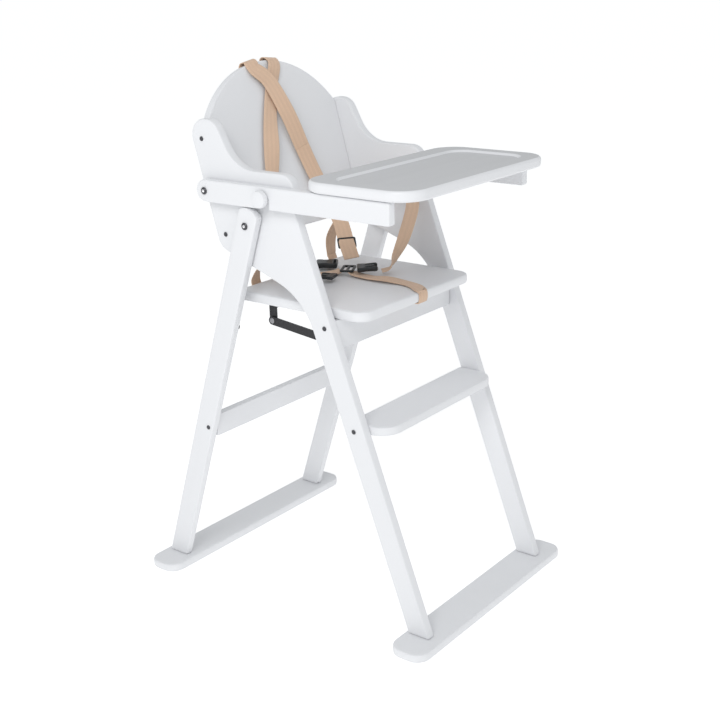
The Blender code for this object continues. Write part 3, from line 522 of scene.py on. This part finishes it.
def tongue_outline():
    """A side release tongue: a base, two sprung prongs with barbs, and a guide between them."""
    half = [(0.0, -0.012), (0.0130, -0.012), (0.0145, -0.0105), (0.0145, -0.003), (0.0128, 0.001),
            (0.0138, 0.009), (0.0152, 0.0125), (0.0140, 0.0165), (0.0108, 0.0178), (0.0096, 0.0160),
            (0.0092, 0.002), (0.0040, -0.001), (0.0032, 0.0125), (0.0, 0.0145)]
    return half + [(-x, y) for x, y in reversed(half[1:-1])]


def body_outlines():
    """A buckle body with waisted sides and a slot for the crotch strap."""
    half = [(0.0, -0.0200), (0.0140, -0.0200), (0.0172, -0.0175), (0.0178, -0.0060), (0.0150, 0.0000),
            (0.0150, 0.0060), (0.0178, 0.0115), (0.0172, 0.0185), (0.0145, 0.0205), (0.0, 0.0185)]
    outer = half + [(-x, y) for x, y in reversed(half[1:-1])]
    return [outer, rounded_box(0, -0.0145, 0.0132, 0.0016, 0.0008)]


def make_buckles():
    top = SEAT_TOP + WEB_LIFT
    upright = math.pi / 2
    pieces = [
        ("buckle_lock_frame", slide_outlines(), 0.0036, 0.0014,
         placed(0.028, 0.028, top + 0.0085, 0.5) @ Matrix.Scale(1.2, 4),
         "buckle_lock"),
        ("buckle_body_shell", body_outlines(), 0.0100, 0.0028, placed(0.036, 0.084, top + 0.0085, 0.6),
         "buckle_body"),
        ("buckle_tongue_shell_right", [tongue_outline()], 0.0066, 0.0018,
         placed(0.0390, -0.003, top + 0.0125, -2.45, 0.05) @ Matrix.Scale(1.25, 4),
         "buckle_tongue_right"),
        ("buckle_tongue_shell_left", [tongue_outline()], 0.0060, 0.0016,
         placed(-0.030, 0.026, top + 0.0075, 0.3), "buckle_tongue_left"),
        ("strap_slide_frame_right", slide_outlines(), 0.0026, 0.0010,
         placed(0.0585, 0.0535, 0.6045, -0.64, upright - 0.55), "strap_slide_right"),
        ("strap_slide_frame_left", slide_outlines(), 0.0026, 0.0010,
         placed(-0.0410, 0.0680, 0.6030, 0.2, upright - 0.45), "strap_slide_left")]
    for name, outlines, thickness, rounding, place, node in pieces:
        obj = flat_piece(name, outlines, thickness, rounding, place, PLASTIC)
        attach(obj, "seat")
        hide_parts(node)


# ------------------------------------------------------------------------ tray
def tray_ring(inset_x, inset_front, inset_rear, radius, z):
    """A rounded rectangle inside the tray's outline, counter-clockwise from the rear right corner."""
    centre_x = TRAY_HIGH.x - inset_x - radius
    rear = TRAY_HIGH.y - inset_rear - radius
    front = TRAY_LOW.y + inset_front + radius
    points = []
    middles = ((centre_x, rear), (-centre_x, rear), (-centre_x, front), (centre_x, front))
    for quarter, (x, y) in enumerate(middles):
        for i in range(RING_STEPS + 1):
            angle = math.pi / 2 * (quarter + i / RING_STEPS)
            points.append((x + radius * math.cos(angle), y + radius * math.sin(angle), z))
    return points


def tray_rings():
    """Rings from the middle of the underside, round the edge and over the rim to the recess."""
    low, high = TRAY_LOW.z, TRAY_HIGH.z
    rings = [tray_ring(TRAY_EDGE, TRAY_EDGE, TRAY_EDGE, TRAY_ROUND - TRAY_EDGE, low)]
    for start, level in ((0, low + TRAY_EDGE), (1, high - TRAY_EDGE)):
        for i in range(1, 6) if start == 0 else range(0, 6):
            angle = math.pi / 2 * (i / 5 - 1 + start)
            inset = TRAY_EDGE * (1 - math.cos(angle))
            height = level + TRAY_EDGE * math.sin(angle)
            rings.append(tray_ring(inset, inset, inset, TRAY_ROUND - inset, height))
    for i in range(9):
        along = i / 8
        step = COVE * along
        drop = RECESS * (0.5 - 0.5 * math.cos(math.pi * along))
        radius = RECESS_ROUND - step / 2
        rings.append(tray_ring(RIM_SIDE + step, RIM_FRONT + step, RIM_REAR + step, radius, high - drop))
    return rings


def make_tray():
    bm = bmesh.new()
    loops = [[bm.verts.new(p) for p in ring] for ring in tray_rings()]
    for lower, upper in zip(loops, loops[1:]):
        for k in range(len(lower)):
            n = (k + 1) % len(lower)
            bm.faces.new((lower[k], lower[n], upper[n], upper[k]))
    bm.faces.new(list(reversed(loops[0])))
    bm.faces.new(loops[-1])
    bmesh.ops.recalc_face_normals(bm, faces=bm.faces)
    mesh = bpy.data.meshes.new("tray_board")
    bm.to_mesh(mesh)
    bm.free()
    obj = bpy.data.objects.new("tray_board", mesh)
    bpy.context.scene.collection.objects.link(obj)
    mesh.materials.append(PAINT_ACROSS)
    mesh.materials.append(TRAY_TOP_PAINTED_SHADE)
    # the upward faces (rim top and recess floor) take the darker grey: painted shade on the tray's top, while
    # its sides stay white
    for face in mesh.polygons:
        face.material_index = 1 if face.normal.z > 0.97 else 0
    shade(obj, math.radians(50))
    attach(obj, "tray")
    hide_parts("tray")


# ---------------------------------------------------------------------- studio
def make_floor():
    mesh = bpy.data.meshes.new("studio_floor")
    bm = bmesh.new()
    bmesh.ops.create_grid(bm, x_segments=1, y_segments=1, size=60)
    bm.to_mesh(mesh)
    bm.free()
    floor = bpy.data.objects.new("studio_floor", mesh)
    floor.location = (0, 0, -0.0004)
    bpy.context.scene.collection.objects.link(floor)
    mat, nodes, links, shader = new_material("studio_floor_white", (0.86, 0.86, 0.86), 0.9)
    shader.inputs["Specular IOR Level"].default_value = 0.0
    shader.inputs["Emission Color"].default_value = (1, 1, 1, 1)
    shader.inputs["Emission Strength"].default_value = 0.45
    mesh.materials.append(mat)


def make_light(name, place, target, size, power, colour):
    data = bpy.data.lights.new(name, "AREA")
    data.shape = "DISK"
    data.size = size
    data.energy = power
    data.color = colour
    light = bpy.data.objects.new(name, data)
    light.location = place
    light.rotation_euler = (Vector(target) - Vector(place)).to_track_quat("-Z", "Y").to_euler()
    bpy.context.scene.collection.objects.link(light)


def make_studio():
    scene = bpy.context.scene
    world = bpy.data.worlds.new("studio")
    scene.world = world
    world.use_nodes = True
    background = world.node_tree.nodes["Background"]
    background.inputs["Color"].default_value = (0.965, 0.985, 1.0, 1)
    background.inputs["Strength"].default_value = 0.66
    scene.view_settings.view_transform = "Standard"
    make_floor()
    make_light("key_from_left", (-2.0, -0.8, 2.3), (0, 0, 0.7), 1.4, 28, (1.0, 1.0, 1.0))


def make_camera():
    """The photograph's viewing angle."""
    azimuth = math.radians(-52.2433)
    elevation = math.radians(18.9425)
    roll = math.radians(-1.3499)
    back = Vector((math.sin(azimuth) * math.cos(elevation), -math.cos(azimuth) * math.cos(elevation),
                   math.sin(elevation)))
    level = Vector((math.cos(azimuth), math.sin(azimuth), 0))
    up = back.cross(level)
    right = level * math.cos(roll) + up * math.sin(roll)
    above = up * math.cos(roll) - level * math.sin(roll)
    data = bpy.data.cameras.new("photo_view")
    data.sensor_width = 36
    data.lens = 59.41
    data.shift_x = -0.0068
    data.shift_y = 0.0083
    data.clip_end = 200
    camera = bpy.data.objects.new("photo_view", data)
    rotation = Matrix((right, above, back)).transposed().to_4x4()
    camera.matrix_world = Matrix.Translation((-1.6131, -1.2762, 1.0976)) @ rotation
    bpy.context.scene.collection.objects.link(camera)
    bpy.context.scene.camera = camera


finish_cad_nodes()
make_camera()
make_studio()
make_shoulder_straps()
make_seat_straps()
make_buckles()
make_tray()
